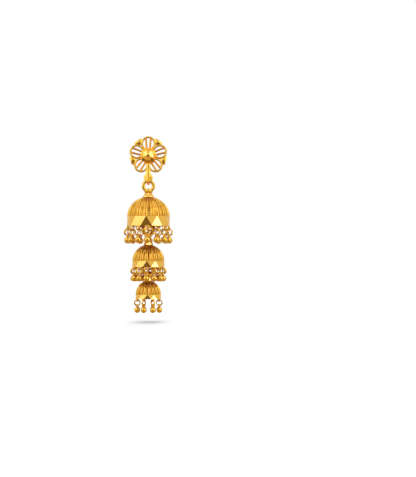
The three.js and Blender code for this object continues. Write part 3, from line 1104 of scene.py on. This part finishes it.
class JHUMKA_OT_bells(bpy.types.Operator):
    """Builds each bell's ribbed dome, mirror band and eyelets"""

    bl_idname = "jhumka.bells"
    bl_label = "Bells"

    def execute(self, context):
        settings = context.scene.jhumka_bells
        gold = gold_finishes(context)
        for bell, gores in enumerate((settings.gores_1, settings.gores_2, settings.gores_3)):
            bells = sizes_of(settings, bell)
            drops = sizes_of(context.scene.jhumka_drops, bell)
            number = number_of(bell)
            dome = f"dome_{number}"
            shell = shell_shape(bells, gores)
            finish_piece(shell, f"ribbed_dome_{number}", dome, [gold.worked, gold.recess], 50)
            # The band takes the paler mirror cut gold: a painted highlight.
            finish_piece(band_shape(bells), f"mirror_band_{number}", dome, [gold.cut], 4)
            height = -bells.foot + bells.sink - bells.eyelet_wire - bells.eyelet
            upright = Matrix.Translation((0, 0, height)) @ Matrix.Rotation(math.pi / 2, 4, "X")
            eyelets = [
                wire_ring(bells.eyelet, bells.eyelet_wire, hung_at(place) @ upright, 8, 20)
                for place in drop_places(drops, bell)
            ]
            finish_piece(joined(eyelets), f"eyelets_{number}", dome, [gold.polished])
        return {"FINISHED"}


class JHUMKA_OT_drops(bpy.types.Operator):
    """Builds the fringe of ball drops, each with its jump ring and loop"""

    bl_idname = "jhumka.drops"
    bl_label = "Ball drops"

    def execute(self, context):
        gold = gold_finishes(context)
        for bell in range(BELLS):
            drops = sizes_of(context.scene.jhumka_drops, bell)
            for place in drop_places(drops, bell):
                shape = self.drop_shape(drops, place)
                name = place.name.replace("drop", "ball_drop")
                finish_piece(shape, name, place.name, [gold.polished])
        return {"FINISHED"}

    def drop_shape(self, drops, place):
        """A jump ring, and under it a ball on a small loop. The jump ring stands edge-on to the bell, and at
        the front and back the slant turns it a little."""
        jump_centre = place.top - drops.jump_wire - drops.jump
        edge_on = Matrix.Rotation(math.pi / 2, 4, "Y")
        facing = Matrix.Rotation(math.pi / 2, 4, "X")
        side = math.copysign(1, math.sin(place.turn))
        slant = Matrix.Rotation(drops.slant * math.cos(place.turn) * side, 4, "Z")
        jump_place = Matrix.Translation((0, 0, jump_centre)) @ slant @ edge_on
        jump = wire_ring(drops.jump, drops.jump_wire, jump_place, 8, 24)
        ball_centre = place.bottom + drops.ball
        loop_centre = ball_centre + drops.ball - drops.sink + drops.loop
        loop_place = Matrix.Translation((0, 0, loop_centre)) @ facing
        loop = wire_ring(drops.loop, drops.loop_wire, loop_place, 8, 16)
        ball = bmesh.new()
        ball_place = Matrix.Translation((0, 0, ball_centre))
        bmesh.ops.create_uvsphere(ball, u_segments=24, v_segments=14, radius=drops.ball, matrix=ball_place)
        shape = joined([jump, loop, smooth(ball)])
        shape.transform(hung_at(place))
        return shape


# Stage


def card(name, width, height, place, material):
    """A flat card that faces its own +Z."""
    bm = bmesh.new()
    bmesh.ops.create_grid(bm, x_segments=1, y_segments=1, size=0.5)
    bm.transform(place @ Matrix.Diagonal((width, height, 1, 1)))
    bmesh.ops.scale(bm, vec=(MM, MM, MM), verts=bm.verts[:])
    mesh = bpy.data.meshes.new(name)
    bm.to_mesh(mesh)
    bm.free()
    mesh.materials.append(material)
    made = bpy.data.objects.new(name, mesh)
    bpy.context.scene.collection.objects.link(made)
    return made


def floor_material(tone):
    """Matt board. From below it isn't there."""
    material, tree = new_material("Pale board")
    place = node(tree, "ShaderNodeTexCoord").outputs["Object"]
    grain = noise(tree, place, 40.0, detail=2.0)
    roughness = ranged(tree, grain, 0.0, 1.0, 0.75, 0.95)
    board = node(tree, "ShaderNodeBsdfPrincipled", {"Roughness": roughness})
    board.inputs["Base Color"].default_value = (tone, tone, tone, 1)
    board.inputs["Specular IOR Level"].default_value = 0.0
    clear = node(tree, "ShaderNodeBsdfTransparent")
    back = node(tree, "ShaderNodeNewGeometry").outputs["Backfacing"]
    sides = node(tree, "ShaderNodeMixShader", {0: back, 1: board.outputs[0], 2: clear.outputs[0]})
    output = node(tree, "ShaderNodeOutputMaterial")
    tree.links.new(sides.outputs[0], output.inputs["Surface"])
    return material


def glow_material(name, strength, tint=(1, 1, 1)):
    """A surface that gives off its own light and takes none."""
    material, tree = new_material(name)
    glow = node(tree, "ShaderNodeEmission", {"Color": rgba(tint), "Strength": strength})
    output = node(tree, "ShaderNodeOutputMaterial")
    tree.links.new(glow.outputs[0], output.inputs["Surface"])
    return material


def softbox(name, target, turn, height, distance, width, tall, radiance):
    """An area light at a turn from the front, aimed at the target. Its brightness is what gold mirrors."""
    light = bpy.data.lights.new(name, "AREA")
    light.shape = "RECTANGLE"
    light.size = width * MM
    light.size_y = tall * MM
    light.energy = radiance * math.pi * light.size * light.size_y
    made = bpy.data.objects.new(name, light)
    bpy.context.scene.collection.objects.link(made)
    out = Vector((math.sin(turn) * math.cos(height), -math.cos(turn) * math.cos(height), math.sin(height)))
    made.location = (target + out * distance) * MM
    made.rotation_euler = out.to_track_quat("Z", "Y").to_euler()
    made.visible_camera = False
    made.visible_diffuse = False
    return made


def overhead_light(studio):
    """Soft light from above, tilted to front and back. Only the floor takes it, not the gold."""
    count = 6
    tilts = [studio.overhead_spread * (2 * i / (count - 1) - 1) for i in range(count)]
    facing = sum(math.cos(tilt) for tilt in tilts)
    for i, tilt in enumerate(tilts):
        light = bpy.data.lights.new(f"overhead_{i + 1}", "SUN")
        light.energy = studio.overhead / facing
        light.angle = studio.overhead_size
        made = bpy.data.objects.new(light.name, light)
        bpy.context.scene.collection.objects.link(made)
        made.rotation_euler = (tilt, 0, 0)
        made.visible_glossy = False


def room_light(studio):
    """A plain room: one brightness for the camera and one for all else."""
    world = bpy.data.worlds.new("White room")
    world.use_nodes = True
    tree = world.node_tree
    tree.nodes.clear()
    path = node(tree, "ShaderNodeLightPath")
    white = {"Color": (1, 1, 1, 1)}
    room = node(tree, "ShaderNodeBackground", {**white, "Strength": studio.room})
    seen = node(tree, "ShaderNodeBackground", {**white, "Strength": studio.backdrop})
    whole = node(
        tree,
        "ShaderNodeMixShader",
        {0: path.outputs["Is Camera Ray"], 1: room.outputs[0], 2: seen.outputs[0]},
    )
    output = node(tree, "ShaderNodeOutputWorld")
    tree.links.new(whole.outputs[0], output.inputs["Surface"])
    bpy.context.scene.world = world


LIGHT_DISTANCE = 620
LIGHT_AIM = Vector((0, AXIS_Y, -20))
FLAG_BEHIND = 15  # how far the dark flag stands behind the camera
LENS_BEHIND = 10  # and the black lens, which is in front of the flag
LENS_GLOW = 0.02


def for_gold_only(surface):
    """Lets only the gold mirror a card: the camera doesn't see it and it throws no shadow."""
    surface.visible_camera = False
    surface.visible_diffuse = False
    surface.visible_shadow = False


def floor_and_ground(studio):
    """The floor that is seen, and the darker ground that the gold mirrors in its place."""
    place = Matrix.Translation((0, 0, -studio.floor_depth))
    floor = card("floor", studio.floor_size, studio.floor_size, place, floor_material(studio.floor_tone))
    floor.visible_glossy = False
    floor.visible_shadow = False
    place = Matrix.Translation((0, 0, -studio.ground_depth))
    tone = glow_material("Ground tone", studio.ground, studio.ground_colour)
    for_gold_only(card("ground", studio.ground_size, studio.ground_size, place, tone))


def softboxes(studio):
    """The lights that the gold mirrors."""
    # Name, turn from the front, degrees above the level, width, height and brightness.
    for name, turn, above, width, tall, radiance in (
        ("softbox_left", -studio.key_turn, 32, 730, 390, studio.left),
        ("softbox_right", studio.key_turn, 32, 730, 390, studio.right),
        ("low_softbox_left", math.radians(-68), 8, 420, 130, studio.left),
        ("low_softbox_right", math.radians(62), 8, 290, 130, studio.right),
        ("strip_left", math.radians(-70), -9, 170, 200, studio.strip_left),
        ("panel_left", -studio.panel_turn, 8, 290, 220, studio.panel),
        ("strip_right", math.radians(50), -7, 170, 200, studio.strip),
        ("softbox_top", 0, 80, 500, 400, studio.top),
    ):
        box = softbox(name, LIGHT_AIM, turn, math.radians(above), LIGHT_DISTANCE, width, tall, radiance)
        box.data.color = studio.cool


def dark_cards(studio):
    """The dark flag and the black lens, which the cuts that face the front mirror."""
    upright = Matrix.Rotation(-math.pi / 2, 4, "X")
    glow = glow_material("Dark flag", studio.flag, studio.flag_colour)
    place = Matrix.Translation((studio.flag_aside, -studio.camera_back - FLAG_BEHIND, -studio.flag_depth))
    for_gold_only(card("flag", studio.flag_width, studio.flag_height, place @ upright, glow))
    black = glow_material("Black lens", LENS_GLOW)
    place = Matrix.Translation((studio.lens_aside, -studio.camera_back - LENS_BEHIND, -studio.lens_depth))
    for_gold_only(card("lens", studio.lens_width, studio.lens_height, place @ upright, black))


def camera_view(studio):
    camera = bpy.data.cameras.new("camera")
    camera.lens = studio.lens
    camera.sensor_width = 36
    camera.clip_start = 0.01
    camera.clip_end = 20
    eye = bpy.data.objects.new("camera", camera)
    bpy.context.scene.collection.objects.link(eye)
    eye.location = (studio.camera_aside * MM, -studio.camera_back * MM, -studio.camera_depth * MM)
    eye.rotation_euler = (math.pi / 2 + studio.camera_pitch, 0, 0)
    bpy.context.scene.camera = eye


class JHUMKA_OT_stage(bpy.types.Operator):
    """Sets the floor, the light and the camera"""

    bl_idname = "jhumka.stage"
    bl_label = "Stage"

    def execute(self, context):
        studio = in_millimetres(context.scene.jhumka_studio)
        context.scene.view_settings.view_transform = "Standard"
        room_light(studio)
        floor_and_ground(studio)
        overhead_light(studio)
        softboxes(studio)
        dark_cards(studio)
        camera_view(studio)
        return {"FINISHED"}


# Add-on


class JHUMKA_PT_panel(bpy.types.Panel):
    """Sizes, finishes and build steps of the earring"""

    bl_idname = "JHUMKA_PT_panel"
    bl_label = "Jhumka earring"
    bl_space_type = "VIEW_3D"
    bl_region_type = "UI"
    bl_category = "Jhumka"

    def draw(self, context):
        for title, name, _ in SETTINGS:
            group = getattr(context.scene, name)
            box = self.layout.box()
            box.label(text=title)
            for key in group.__annotations__:
                box.prop(group, key)
        for step in STEPS:
            self.layout.operator(step.bl_idname)


SETTINGS = (
    ("Rosette", "jhumka_flower", FlowerSettings),
    ("Post", "jhumka_post", PostSettings),
    ("Rings and caps", "jhumka_links", LinkSettings),
    ("Bells", "jhumka_bells", BellSettings),
    ("Ball drops", "jhumka_drops", DropSettings),
    ("Finish", "jhumka_finish", FinishSettings),
    ("Studio", "jhumka_studio", StudioSettings),
)
STEPS = (
    JHUMKA_OT_stage,
    JHUMKA_OT_rosette,
    JHUMKA_OT_centre,
    JHUMKA_OT_post,
    JHUMKA_OT_links,
    JHUMKA_OT_bells,
    JHUMKA_OT_drops,
)


def register():
    for _, name, group in SETTINGS:
        bpy.utils.register_class(group)
        setattr(bpy.types.Scene, name, PointerProperty(type=group))
    for kind in (*STEPS, JHUMKA_PT_panel):
        bpy.utils.register_class(kind)


def unregister():
    for kind in reversed((*STEPS, JHUMKA_PT_panel)):
        bpy.utils.unregister_class(kind)
    for _, name, group in reversed(SETTINGS):
        delattr(bpy.types.Scene, name)
        bpy.utils.unregister_class(group)


def main():
    register()
    bpy.ops.jhumka.stage()
    bpy.ops.jhumka.rosette()
    bpy.ops.jhumka.centre()
    bpy.ops.jhumka.post()
    bpy.ops.jhumka.links()
    bpy.ops.jhumka.bells()
    bpy.ops.jhumka.drops()


if __name__ == "__main__":
    main()
